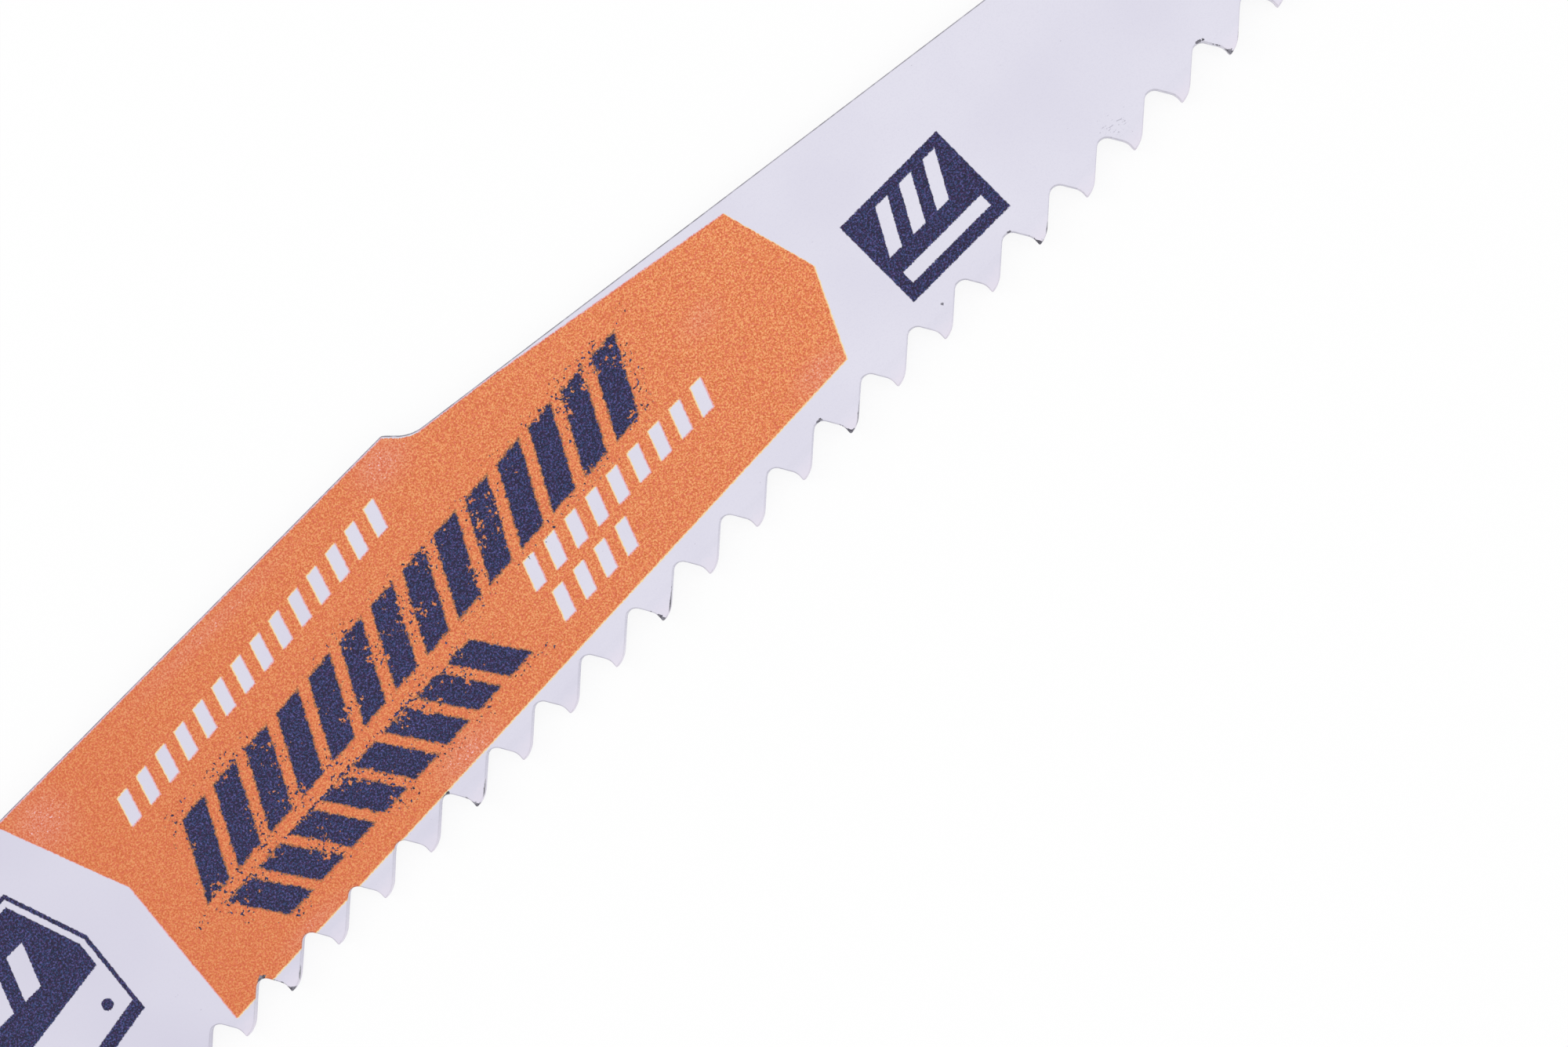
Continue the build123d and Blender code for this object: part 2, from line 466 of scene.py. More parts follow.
def tooth_row_tree(inputs):
    """Sets one tooth along the edge again and again, welds the row to the body and bends the
    set. The inputs are named, each with its kind and its value."""
    tree = bpy.data.node_groups.new("Toothed edge", "GeometryNodeTree")
    tree.is_modifier = True
    add_socket(tree, "Geometry", "INPUT", "Geometry")
    for name, (kind, value) in inputs.items():
        add_socket(tree, name, "INPUT", kind)
    add_socket(tree, "Geometry", "OUTPUT", "Geometry")
    bench = Bench(tree)
    given = bench.place("NodeGroupInput").outputs
    result = bench.place("NodeGroupOutput")

    points = bench.fill(
        bench.place("GeometryNodeMeshLine", mode="OFFSET"),
        Count=given["Teeth"],
        Start_Location=bench.vector(given["First Tip"]),
        Offset=bench.vector(given["Pitch"]),
    )["Mesh"]
    info = bench.place("GeometryNodeObjectInfo", transform_space="ORIGINAL")
    one = bench.fill(info, Object=given["Tooth"])["Geometry"]
    row = bench.fill(bench.place("GeometryNodeInstanceOnPoints"), Points=points, Instance=one)[0]
    real = bench.fill(bench.place("GeometryNodeRealizeInstances"), Geometry=row)[0]
    join = bench.place("GeometryNodeJoinGeometry")
    for part in (real, given["Geometry"]):
        bench.feed(join.inputs[0], part)
    weld = bench.place("GeometryNodeMergeByDistance")
    welded = bench.fill(weld, Geometry=join.outputs[0], Distance=given["Weld Distance"])[0]

    # Which way each tooth leans: down, straight, up, straight, and none outside the row
    place = bench.axes(bench.place("GeometryNodeInputPosition").outputs[0])
    along = bench.minus(place["X"], given["First Column"])
    number = bench.maths("FLOOR", bench.maths("DIVIDE", along, given["Pitch"]))
    turn = bench.maths("FLOORED_MODULO", number, 4.0)
    up = bench.maths("COMPARE", turn, 2.0, 0.1)
    down = bench.maths("COMPARE", turn, 0.0, 0.1)
    inside = bench.maths("LESS_THAN", number, bench.minus(given["Teeth"], 0.5))
    not_before = bench.maths("GREATER_THAN", number, -0.5)
    side = bench.product(bench.minus(up, down), inside, not_before)

    # The bend: an arc about a centre beside the strip, then straight at the set angle
    depth = bench.minus(given["Bend Line"], place["Y"])
    radius = bench.minus(given["Bend Radius"], bench.product(place["Z"], side))
    arc_depth = bench.product(radius, bench.maths("SINE", given["Set Angle"]))
    inner = bench.minus(bench.product(radius, radius), bench.product(depth, depth))
    on_arc = bench.minus(given["Bend Radius"], bench.maths("SQRT", bench.most(inner, 0.0)))
    cosine = bench.maths("COSINE", given["Set Angle"])
    arc_end = bench.minus(given["Bend Radius"], bench.product(radius, cosine))
    tangent = bench.maths("TANGENT", given["Set Angle"])
    beyond = bench.product(bench.minus(depth, arc_depth), tangent)
    past_arc = bench.maths("GREATER_THAN", depth, arc_depth)
    straight = bench.total(arc_end, beyond)
    level = bench.total(on_arc, bench.product(past_arc, bench.minus(straight, on_arc)))
    bent_z = bench.product(level, side)
    lift = bench.minus(bent_z, place["Z"])
    low = bench.maths("GREATER_THAN", depth, 0.0)
    leans = bench.maths("GREATER_THAN", bench.maths("ABSOLUTE", side), 0.5)
    move = bench.vector(0.0, 0.0, bench.product(lift, low, leans))
    bent = bench.fill(bench.place("GeometryNodeSetPosition"), Geometry=welded, Offset=move)[0]
    paint = bench.place("GeometryNodeSetMaterial")
    painted = bench.fill(paint, Geometry=bent, Material=given["Paint"])[0]
    bench.feed(result.inputs[0], painted)
    return tree


# Colours and shader effects


def colour(red, green, blue):
    """A colour from its screen values, 0 to 255, as Blender's linear values."""
    out = []
    for value in (red, green, blue):
        share = value / 255
        out.append(share / 12.92 if share <= 0.04045 else ((share + 0.055) / 1.055) ** 2.4)
    return (*out, 1.0)


def colours(**tones):
    """Named colours from their screen values."""
    return {name: colour(*tone) for name, tone in tones.items()}


def effect(name, outputs, **inputs):
    """A new shader node group: the bench to build it on, what it is given and what it puts out. An
    input is a number, a colour, or a place or direction (None). The output called Colour is a
    colour, and the others are numbers."""
    tree = bpy.data.node_groups.new(name, "ShaderNodeTree")
    for label, value in inputs.items():
        kind = "Vector" if value is None else "Float" if isinstance(value, float) else "Color"
        socket = add_socket(tree, label.replace("_", " "), "INPUT", kind)
        if value is not None:
            socket.default_value = value
    for label in outputs:
        add_socket(tree, label, "OUTPUT", "Color" if label == "Colour" else "Float")
    bench = Shading(tree)
    return bench, bench.place("NodeGroupInput").outputs, bench.place("NodeGroupOutput")


class Shading(Bench):
    """A bench for shader trees."""

    def mix(self, share, under, over):
        node = self.place("ShaderNodeMix", data_type="RGBA")
        self.feed(node.inputs[0], share)
        self.feed(node.inputs[6], under)
        self.feed(node.inputs[7], over)
        return node.outputs[2]

    def noise(self, vector, scale, detail=2.0, roughness=0.5):
        node = self.place("ShaderNodeTexNoise", noise_dimensions="3D")
        self.fill(node, Vector=vector, Scale=scale, Detail=detail, Roughness=roughness)
        return node.outputs["Fac"]

    def along(self, vector, direction):
        node = self.place("ShaderNodeVectorMath", operation="DOT_PRODUCT")
        self.feed(node.inputs[0], vector)
        self.feed(node.inputs[1], direction)
        return node.outputs["Value"]

    def reach(self, vector):
        node = self.place("ShaderNodeVectorMath", operation="LENGTH")
        self.feed(node.inputs[0], vector)
        return node.outputs["Value"]

    def distance(self, vector, point):
        return self.reach(self.shift("SUBTRACT", vector, point))

    def without(self, value, taken):
        return self.product(value, self.minus(1.0, taken))

    def use(self, name, **values):
        """One of the effects below, with its inputs fed."""
        effect_tree = bpy.data.node_groups[name]
        return self.fill(self.place("ShaderNodeGroup", node_tree=effect_tree), **values)


def sprayed_paint():
    """Pale sprayed paint: soft clouds, a fine grain, faint scuffs and a low orange peel."""
    tones = colours(Paint=(223, 221, 234), Shade=(208, 205, 222), Scuff=(132, 128, 146))
    bench, given, out = effect(
        "Sprayed paint", ["Colour", "Roughness", "Height"], Place=None, Grain=0.5, Scuffed=0.0,
        Dense=0.0, **tones,
    )
    place = given["Place"]
    cloud = bench.noise(place, 0.12, 1.0)
    clouded = bench.ramp(cloud, 0.38, 0.72, 0.0, 0.3)
    # Painted shade: the paint is darker towards the tang, added to the clouds
    clouds_and_shade = bench.total(clouded, bench.product(given["Dense"], 0.55))
    shade = bench.mix(clouds_and_shade, given["Paint"], given["Shade"])
    shade = bench.mix(bench.ramp(given["Grain"], 0.45, 0.8, 0.0, 0.2), shade, given["Shade"])
    stretch = bench.shift("MULTIPLY", place, (0.8, 1.8, 1.0))
    scratch = bench.noise(stretch, 3.4, 2.0, 0.6)
    worn = bench.total(scratch, bench.product(given["Scuffed"], 0.16))
    shade = bench.mix(bench.ramp(worn, 0.75, 0.80, 0.0, 0.4), shade, given["Scuff"])
    peel = bench.noise(place, 1.9, 1.0, 0.5)
    rough = bench.ramp(cloud, 0.3, 0.7, 0.40, 0.50)
    bench.fill(out, Colour=shade, Roughness=rough, Height=bench.product(peel, 0.006))


def ink_grain():
    """Screen-printed ink seen close: a colour that jumps from grain to grain."""
    bench, given, out = effect("Ink grain", ["Colour"], Tone=0.5, Tint=0.5, **navy_ink)
    shade = bench.mix(bench.ramp(given["Tone"], 0.32, 0.53), given["Dark"], given["Middle"])
    shade = bench.mix(bench.ramp(given["Tone"], 0.50, 0.68), shade, given["Light"])
    shade = bench.mix(bench.ramp(given["Tint"], 0.54, 0.76, 0.0, 0.8), shade, given["Cool"])
    shade = bench.mix(bench.ramp(given["Tint"], 0.46, 0.24, 0.0, 0.8), shade, given["Warm"])
    bench.fill(out, Colour=shade)


def straight_edge():
    """Distance in from a straight edge, along the way that it faces."""
    bench, given, out = effect("Straight edge", ["Inside"], Place=None, Facing=None, Offset=0.0)
    across = bench.along(given["Place"], given["Facing"])
    bench.fill(out, Inside=bench.minus(across, given["Offset"]))


def bar_row():
    """Distance in from the nearest edge of a row of slanted bars, for two inks, one slipped."""
    bench, given, out = effect(
        "Bar row", ["Inside", "Slipped"], Place=None, Along=None, Along_Start=0.0, Up=None,
        Up_Start=0.0, Length=10.0, Half_Height=1.0, Pitch=2.0, Half_Bar=0.5, Slip_Along=0.0,
        Slip_Up=0.0,
    )
    along = bench.minus(bench.along(given["Place"], given["Along"]), given["Along Start"])
    height = bench.minus(bench.along(given["Place"], given["Up"]), given["Up Start"])
    share = bench.maths("FRACT", bench.maths("DIVIDE", along, given["Pitch"]))
    within = bench.product(bench.minus(share, 0.5), given["Pitch"])
    end = bench.least(along, bench.minus(given["Length"], along))
    slid = bench.total(within, given["Slip Along"])
    raised = bench.total(height, given["Slip Up"])
    for name, sideways, upwards in (("Inside", within, height), ("Slipped", slid, raised)):
        side = bench.minus(given["Half Bar"], bench.maths("ABSOLUTE", sideways))
        top = bench.minus(given["Half Height"], bench.maths("ABSOLUTE", upwards))
        bench.feed(out.inputs[name], bench.least(side, top, end))


def torn_edge():
    """Ink with a torn edge: chips out of it where it is torn, specks beside it, and a dark rim."""
    bench, given, out = effect(
        "Torn edge", ["Mask", "Rim"], Inside=0.0, Breaks=0.5, Specks=0.5, Torn=0.0
    )
    inside = bench.total(given["Inside"], bench.product(bench.minus(given["Breaks"], 0.5), -0.5))
    solid = bench.ramp(inside, -0.02, 0.05)
    depth = bench.ramp(given["Inside"], 0.0, 0.9, 0.0, 0.10)
    chance = bench.minus(bench.total(given["Breaks"], bench.product(given["Torn"], 0.17)), depth)
    holes = bench.ramp(chance, 0.69, 0.71)
    beside = bench.ramp(given["Inside"], -1.1, 0.0, 0.0, 0.09)
    strewn = bench.total(given["Specks"], beside, bench.product(given["Torn"], 0.12))
    near = bench.ramp(given["Inside"], -1.2, -1.1)
    specks = bench.product(bench.ramp(strewn, 0.79, 0.82), near)
    fringe = bench.product(bench.ramp(strewn, 0.75, 0.79), near)
    outline = bench.without(bench.ramp(inside, -0.15, -0.07), bench.ramp(chance, 0.73, 0.75))
    mask = bench.most(bench.without(solid, holes), specks)
    bench.fill(out, Mask=mask, Rim=bench.most(outline, fringe))


def worn_patch():
    """How near a place is to the middle of a rubbed patch, up to the patch's wear."""
    bench, given, out = effect(
        "Worn patch", ["Near"], Place=None, Centre=None, Reach=None, Wear=0.5
    )
    away = bench.shift("SUBTRACT", given["Place"], given["Centre"])
    away = bench.reach(bench.shift("DIVIDE", away, given["Reach"]))
    bench.fill(out, Near=bench.ramp(away, 0.0, 1.0, given["Wear"], 0.0, smooth=True))


def chipped_teeth():
    """Bare steel where the paint has chipped: tips, reliefs and throats of the teeth set upward."""
    bench, given, out = effect(
        "Chipped teeth", ["Mask", "Rub"], Place=None, Breaks=0.5, Grain=0.5, First_Tip=0.0,
        Tooth_Line=0.0, Pitch=tooth_pitch,
    )
    lead = 1.6
    place = bench.axes(given["Place"])
    start = bench.total(bench.minus(place["X"], given["First Tip"]), lead)
    number = bench.maths("FLOOR", bench.maths("DIVIDE", start, given["Pitch"]))
    across = bench.minus(bench.minus(start, bench.product(number, given["Pitch"])), lead)
    up = bench.minus(place["Y"], given["Tooth Line"])
    leaning_up = bench.maths("COMPARE", bench.maths("FLOORED_MODULO", number, 4.0), 2.0, 0.1)
    chance = bench.place("ShaderNodeTexWhiteNoise", noise_dimensions="1D")
    bench.feed(chance.inputs["W"], number)
    much = chance.outputs["Value"]
    broken = bench.minus(given["Breaks"], 0.5)
    rough = bench.minus(given["Grain"], 0.5)

    def past(x, y, facing):
        """Distance past a line through a place on the tooth, along the way that it faces."""
        along = bench.product(bench.minus(across, x), facing[0])
        return bench.total(along, bench.product(bench.minus(up, y), facing[1]))

    # The tip: bare below a short slanting line
    tip_chip = bench.ramp(much, 0.0, 1.0, 0.06, 0.38)
    line = bench.minus(tip_chip, bench.total(up, bench.product(across, 0.35)))
    ragged = bench.total(line, bench.product(broken, 0.4), bench.product(rough, 0.3))
    tip = bench.ramp(ragged, -0.02, 0.04)

    # The relief: a thin dark line that fades out on its way up from the tip
    heel_run = heel_radius * (sin(radians(relief_angle)) - sin(radians(heel_angle)))
    heel_rise = heel_radius * (cos(radians(heel_angle)) - cos(radians(relief_angle)))
    relief = past(heel_run, heel_rise, towards(relief_angle - 90))
    width = bench.ramp(bench.total(up, much), 0.3, 3.2, 0.11, -0.11)
    edge = bench.ramp(bench.total(relief, width, bench.product(broken, 0.22)), -0.01, 0.03)

    # The throat: broken chips along its edge, and one where the gullet begins
    throat = past(rake_top[0], rake_top[1] - tip_y, towards(180 + throat_angle))
    throat_top = gullet_depth - gullet_radius * (1 - sin(radians(throat_angle)))
    broken_edge = bench.total(throat, bench.ramp(broken, 0.0, 0.16, -0.08, 0.12))
    below_gullet = bench.ramp(up, throat_top - 0.1, throat_top, 1.0, 0.0)
    chips = bench.product(bench.ramp(broken_edge, 0.0, 0.03), below_gullet)
    ahead = bench.product(bench.minus(across, gullet_back + 0.35), 1.3)
    above = bench.product(bench.minus(up, gullet_depth), 2.4)
    corner = bench.minus(bench.product(much, 0.7), bench.reach(bench.vector(ahead, above)))
    corner = bench.total(corner, bench.product(broken, 1.8))
    bare = bench.most(tip, edge, chips, bench.ramp(corner, 0.0, 0.08))
    high = bench.ramp(place["Z"], 0.15, 0.55)
    rubbed = bench.ramp(bench.total(up, bench.product(broken, 1.2)), 0.0, 1.3, 1.0, 0.0)
    bench.fill(out, Mask=bench.product(bare, leaning_up, high), Rub=rubbed)


# Print on the face

orange_ink = colours(
    Dark=(192, 88, 36),
    Middle=(230, 128, 72),
    Light=(246, 164, 113),
    Cool=(246, 181, 120),
    Warm=(216, 102, 84),
)
navy_ink = colours(
    Dark=(4, 4, 28),
    Middle=(12, 8, 52),
    Light=(94, 90, 156),
    Cool=(42, 66, 116),
    Warm=(56, 28, 78),
)
shades = colours(
    # painted shade of the orange ink, towards the tang
    dense_orange=(202, 98, 56),
    rubbed_orange=(230, 148, 134),
    pale_fleck=(243, 208, 220),
    yellow_ink=(247, 214, 140),
    pink_ink=(226, 168, 178),
    olive_rim=(104, 84, 56),
    dark_speck=(70, 66, 80),
    # painted shade along the edges, partly thin paint
    edge_line=(102, 98, 106),
    dark_steel=(62, 60, 70),
    light_steel=(146, 144, 154),
    rubbed_paint=(234, 224, 236),
)

# Grains to the millimetre, how far they push an edge about, and how far the two inks miss
tint_scale = 8.5
tone_scale = 6.2
specks_scale = 3.6
breaks_scale = 2.1
torn_scale = 0.34
torn_jitter = 0.30
neat_jitter = 0.15
slip = Vector((0.07, -0.08, 0.0))
ink_margin = 0.17

# Rows of bars on the print: start, turn, length, half height, pitch, half bar and slant
open_rows = (
    ((82.0, 6.15), 4.4, 31.8, 1.15, 2.27, 0.56, 0.4),
    ((117.2, -3.1), 1.2, 20.9, 1.15, 2.32, 0.58, 0.4),
    ((117.2, -6.3), 1.2, 9.3, 1.15, 2.32, 0.58, 0.4),
)
stripes_row = ((83.2, -0.3), 3.4, 51.5, 2.85, 3.68, 1.24, 0.62)
blocks_row = ((84.2, -6.3), 2.2, 28.8, 2.1, 3.6, 1.28, -0.62)
crease = ((90.0, -3.95), 3.0, 15.5, 0.05, 15.5, 7.75, 0.0)
badge_row = ((48.4, 3.1), 0.0, 21.2, 1.7, 3.03, 0.85, 0.4)
box_field = ((153.45, -4.98), 0.0, 10.4, 4.02, 10.4, 5.2, 0.0)
box_bars = ((154.9, -3.55), 0.0, 7.6, 1.75, 2.53, 0.62, 0.55)
box_line = ((154.5, -7.35), 0.0, 8.3, 0.52, 8.3, 4.2, 0.0)

# Rubbed patches of the orange: middle, reach along and across, and wear
rubbed_patches = (
    ((77.4, 10.2), (4.2, 4.0), 1.0),
    ((115.8, 11.2), (4.2, 2.8), 1.0),
    ((144.6, -7.7), (4.2, 2.0), 0.9),
    ((104.9, -9.3), (5.2, 2.4), 1.0),
    ((141.0, 1.6), (3.2, 1.9), 0.6),
    ((97.0, 11.6), (13.0, 1.2), 0.7),
    ((87.0, -10.2), (5.5, 1.3), 0.7),
)
scuffed_middle = (173.6, -10.2, 0.0)
scuffed_reach = (2.8, 2.2, 8.0)
dark_speck = (154.9, -10.6, 0.0)


def edge_pair(bench, place, start, end):
    """Distance in from the straight edge from start to end, for both inks."""
    run = (Vector(end) - Vector(start)).normalized()
    facing = Vector((-run.y, run.x, 0.0))
    offset = facing.x * start[0] + facing.y * start[1]
    inside = bench.use("Straight edge", Place=place, Facing=facing, Offset=offset)["Inside"]
    return inside, bench.total(inside, facing.dot(slip))


def bars(bench, place, start, turn, length, half_height, pitch, half_bar, slant):
    """Distance in from the bars of a row, for both inks."""
    run = towards(turn)
    up = Vector((-run[1], run[0], 0.0))
    along = Vector((run[0], run[1], 0.0)) - up * slant
    corner = Vector((start[0], start[1], 0.0))
    return bench.use(
        "Bar row", Place=place, Along=along, Along_Start=along.dot(corner), Up=up,
        Up_Start=up.dot(corner), Length=length, Half_Height=half_height, Pitch=pitch,
        Half_Bar=half_bar, Slip_Along=along.dot(slip), Slip_Up=up.dot(slip),
    )


def orange_panel(bench, place):
    """The orange panel, for both inks: notched towards the tang, pointed towards the nose, short of
    the back edge, with rows of bars left open in it."""
    notch_head, notch, notch_foot = (74.8, 12.0), (78.7, 1.85), (77.45, -11.2)
    point_head, point, point_foot = (148.0, 6.05), (150.1, -1.7), (146.85, -8.5)
    above_step_foot = (step_foot_x, step_foot_y + 0.15)
    back_level = back_y - ink_margin
    aside = ink_margin / sin(radians(step_angle))

    def edge(start, end):
        return edge_pair(bench, place, start, end)

    notched = edge(notch_head, notch), edge(notch, notch_foot)
    taper = edge(point_head, above_step_foot)
    straight = [edge(notch_foot, point_foot), edge(point_foot, point), edge(point, point_head)]

    # The ink stops just short of the back, the step and the taper
    straight.append(edge((step_x, back_level), (notch_head[0], back_level)))
    taper_start = (step_foot_x, step_foot_y - ink_margin)
    taper_back = edge((nose_x, taper_y(nose_x) - ink_margin), taper_start)
    step = edge((step_foot_x - aside, step_foot_y), (step_x - aside, back_y))
    above_taper = Vector(towards(90 - taper_angle))
    above_step = Vector(towards(90 - step_angle))
    spread = step_fillet_radius / (1 + above_taper.dot(above_step))
    fillet = Vector((step_foot_x, step_foot_y)) + (above_taper + above_step) * spread
    from_fillet = bench.distance(place, (fillet.x, fillet.y, 0.0))
    foot_reach = step_fillet_radius * tan(radians(step_angle - taper_angle) / 2)
    from_foot = bench.distance(place, (step_foot_x, step_foot_y, 0.0))
    outside_fillet = bench.minus(from_fillet, step_fillet_radius + ink_margin)
    foot = bench.least(outside_fillet, bench.minus(foot_reach, from_foot))
    rows = [bars(bench, place, *row) for row in open_rows]
    masks = []
    for ink, name in enumerate(("Inside", "Slipped")):
        upper = bench.most(bench.least(taper[ink], taper_back[ink]), step[ink], foot)
        notch_side = bench.most(*[side[ink] for side in notched])
        panel = bench.least(notch_side, upper, *[side[ink] for side in straight])
        open_bars = bench.most(*[row[name] for row in rows])
        masks.append(bench.ramp(bench.least(panel, bench.product(open_bars, -1.0)), -0.02, 0.04))
    return masks


def badge(bench, place):
    """The plain badge near the tang: a framed field over a pale band, the same on both halves."""
    middle_x = 59.0
    corner, shoulder, foot, point = (12.3, 8.47), (14.67, 1.66), (13.93, -5.49), (0.0, -7.75)
    frame_width, frame_base, field_gap = 0.39, 1.15, 0.84
    band_middle, band_end = (0.0, -2.27), (13.34, -0.57)
    dot_middle, dot_radius = (12.0, -3.28, 0.0), 0.5
    spot = bench.axes(place)
    half = bench.vector(bench.maths("ABSOLUTE", bench.minus(spot["X"], middle_x)), spot["Y"])

    def edge(start, end):
        return edge_pair(bench, half, start, end)[0]

    side = bench.least(edge(corner, (0.0, corner[1])), edge(shoulder, corner), edge(foot, shoulder))
    base = edge(point, foot)
    border = bench.most(bench.minus(frame_width, side), bench.minus(frame_base, base))
    row = bars(bench, place, *badge_row)["Inside"]
    inner = bench.minus(side, field_gap)
    field = bench.least(inner, edge(band_middle, band_end), bench.product(row, -1.0))
    dot = bench.minus(dot_radius, bench.distance(half, dot_middle))
    return bench.most(bench.least(side, base, border), field, dot)


def box(bench, place):
    """The plain box towards the nose, with three bars and a line left open in it."""
    rows = (box_field, box_bars, box_line)
    whole, tall, line = [bars(bench, place, *row)["Inside"] for row in rows]
    return bench.least(whole, bench.product(bench.most(tall, line), -1.0))


def rubbed_places(bench, place):
    """Where hands and other blades have rubbed the orange, and how much."""
    near = []
    for middle, reach, wear in rubbed_patches:
        centre, reach = (*middle, 0.0), (*reach, 1.0)
        patch = bench.use("Worn patch", Place=place, Centre=centre, Reach=reach, Wear=wear)
        near.append(patch["Near"])
    return bench.most(*near)


def print_over(bench, place, grains, dense, shade, rough, toothed):
    """The print, laid over the paint's colour and roughness. At the teeth it is on the face alone,
    not on the walls of the gullets."""
    tint, breaks, specks = grains
    flat = bench.shift("MULTIPLY", place, (1.0, 1.0, 0.0))
    jitter = bench.vector(bench.minus(specks, 0.5), bench.minus(tint, 0.5))
    torn_place = bench.shift("ADD", flat, bench.shift("SCALE", jitter, torn_jitter))
    neat = bench.shift("ADD", flat, bench.shift("SCALE", jitter, neat_jitter))
    tone = bench.noise(place, tone_scale, 2.0, 0.65)

    # Orange over yellow: where the inks miss each other, one of them shows alone
    yellow_mask, orange_mask = orange_panel(bench, neat)
    if toothed:
        on_face = bench.ramp(bench.axes(place)["Z"], 0.45, 0.6)
        yellow_mask = bench.product(yellow_mask, on_face)
        orange_mask = bench.product(orange_mask, on_face)
    orange = bench.use("Ink grain", Tone=tone, Tint=tint, **orange_ink)["Colour"]
    # Painted shade: the orange ink is darker towards the tang
    orange = bench.mix(bench.product(dense, 0.42), orange, shades["dense_orange"])
    worn = rubbed_places(bench, flat)
    rubbed = bench.product(worn, bench.ramp(tint, 0.35, 0.6), 0.5)
    orange = bench.mix(rubbed, orange, shades["rubbed_orange"])
    pale = bench.ramp(bench.total(tone, bench.product(worn, 0.15)), 0.76, 0.81, 0.0, 0.8)
    orange = bench.mix(pale, orange, shades["pale_fleck"])
    shade = bench.mix(bench.product(yellow_mask, 0.85), shade, shades["yellow_ink"])
    alone = bench.mix(yellow_mask, shades["pink_ink"], orange)
    shade = bench.mix(orange_mask, shade, alone)

    # Navy rows with torn edges, the box near the nose and the badge near the tang
    rows = (stripes_row, blocks_row, crease)
    stripes, blocks, fold = [bars(bench, torn_place, *row)["Inside"] for row in rows]
    torn = bench.ramp(bench.noise(place, torn_scale, 0.0), 0.40, 0.66)
    inside = bench.most(stripes, blocks)
    ragged = bench.use("Torn edge", Inside=inside, Breaks=breaks, Specks=specks, Torn=torn)
    patchy = bench.product(bench.minus(specks, 0.5), 0.9)
    line = bench.ramp(bench.total(fold, patchy), 0.0, 0.05)
    crisp = bench.ramp(bench.most(box(bench, neat), badge(bench, neat)), -0.02, 0.05)
    navy_mask = bench.most(ragged["Mask"], crisp, line)
    navy = bench.use("Ink grain", Tone=tone, Tint=tint, **navy_ink)["Colour"]
    shade = bench.mix(bench.product(ragged["Rim"], 0.62), shade, shades["olive_rim"])
    shade = bench.mix(navy_mask, shade, navy)
    from_speck = bench.distance(neat, dark_speck)
    shade = bench.mix(bench.ramp(from_speck, 0.10, 0.15, 0.8, 0.0), shade, shades["dark_speck"])
    inked = bench.most(orange_mask, navy_mask)
    rough = bench.total(bench.without(rough, inked), bench.product(inked, ink_roughness))
    return shade, rough


def cleared(holder, output):
    """Clears a material or the world, and gives the bench to build it on and its surface socket."""
    holder.use_nodes = True
    holder.node_tree.nodes.clear()
    bench = Shading(holder.node_tree)
    return bench, bench.place(output).inputs["Surface"]


def painted_face(name, printed=False, toothed=False):
    """Paint on the blade, with the print and the chipped teeth where the face carries them."""
    material = bpy.data.materials.new(name)
    bench, shown = cleared(material, "ShaderNodeOutputMaterial")
    spot = bench.place("ShaderNodeTexCoord").outputs["Object"]
    place = bench.shift("SCALE", spot, 1 / MM)
    spots = bench.axes(place)
    tint = bench.noise(place, tint_scale, 0.0)
    breaks = bench.noise(place, breaks_scale, 2.0, 0.68)
    specks = bench.noise(place, specks_scale, 1.0, 0.6)

    scuffed = 0.0
    if printed:
        scuffed = bench.use(
            "Worn patch", Place=place, Centre=scuffed_middle, Reach=scuffed_reach, Wear=1.0
        )["Near"]

    # Painted shade: the paint and the orange ink are darker towards the tang
    dense = bench.ramp(spots["X"], 70.0, 150.0, 1.0, 0.0)
    paint = bench.use("Sprayed paint", Place=place, Grain=tint, Scuffed=scuffed, Dense=dense)
    shade = paint["Colour"]
    rough = paint["Roughness"]
    if printed:
        grains = (tint, breaks, specks)
        shade, rough = print_over(bench, place, grains, dense, shade, rough, toothed)

    # Thin dark line on the rounded edges and at the foot of the walls, strongest along the back:
    # painted shade, with the paint partly thin at the edges
    rim = bench.place("ShaderNodeAttribute", attribute_name="rim").outputs["Fac"]
    stronger = bench.ramp(spots["Y"], -7.0, 5.0, 0.34, 0.85)
    shade_and_thin_paint = bench.product(stronger, bench.ramp(breaks, 0.30, 0.62, 0.5, 1.0))
    shade = bench.mix(bench.product(bench.ramp(rim, 0.05, 0.3), shade_and_thin_paint), shade, shades["edge_line"])

    metal = 0.0
    if toothed:
        chipped = bench.use(
            "Chipped teeth", Place=place, Breaks=breaks, Grain=specks, First_Tip=first_tip_x,
            Tooth_Line=tip_y, Pitch=tooth_pitch,
        )
        bare = chipped["Mask"]
        steel = bench.mix(bench.ramp(specks, 0.3, 0.7), shades["dark_steel"], shades["light_steel"])
        shade = bench.mix(bench.product(chipped["Rub"], 0.5), shade, shades["rubbed_paint"])
        shade = bench.mix(bare, shade, steel)
        rough = bench.total(bench.without(rough, bare), bench.product(bare, steel_roughness))
        metal = bench.product(bare, steel_metal)
    bump = bench.fill(
        bench.place("ShaderNodeBump"), Strength=0.7, Distance=MM, Height=paint["Height"]
    )
    surface = bench.fill(
        bench.place("ShaderNodeBsdfPrincipled"), Base_Color=shade, Roughness=rough,
        Metallic=metal, Specular_IOR_Level=paint_specular, Normal=bump[0],
    )
    bench.feed(shown, surface[0])
    return material


effects = (
    sprayed_paint, ink_grain, straight_edge, bar_row, torn_edge, worn_patch, chipped_teeth,
)
for build in effects:
    build()
plain_paint = painted_face("plain_paint")
printed_paint = painted_face("printed_paint", printed=True)
toothed_paint = painted_face("toothed_paint", printed=True, toothed=True)


# The blade

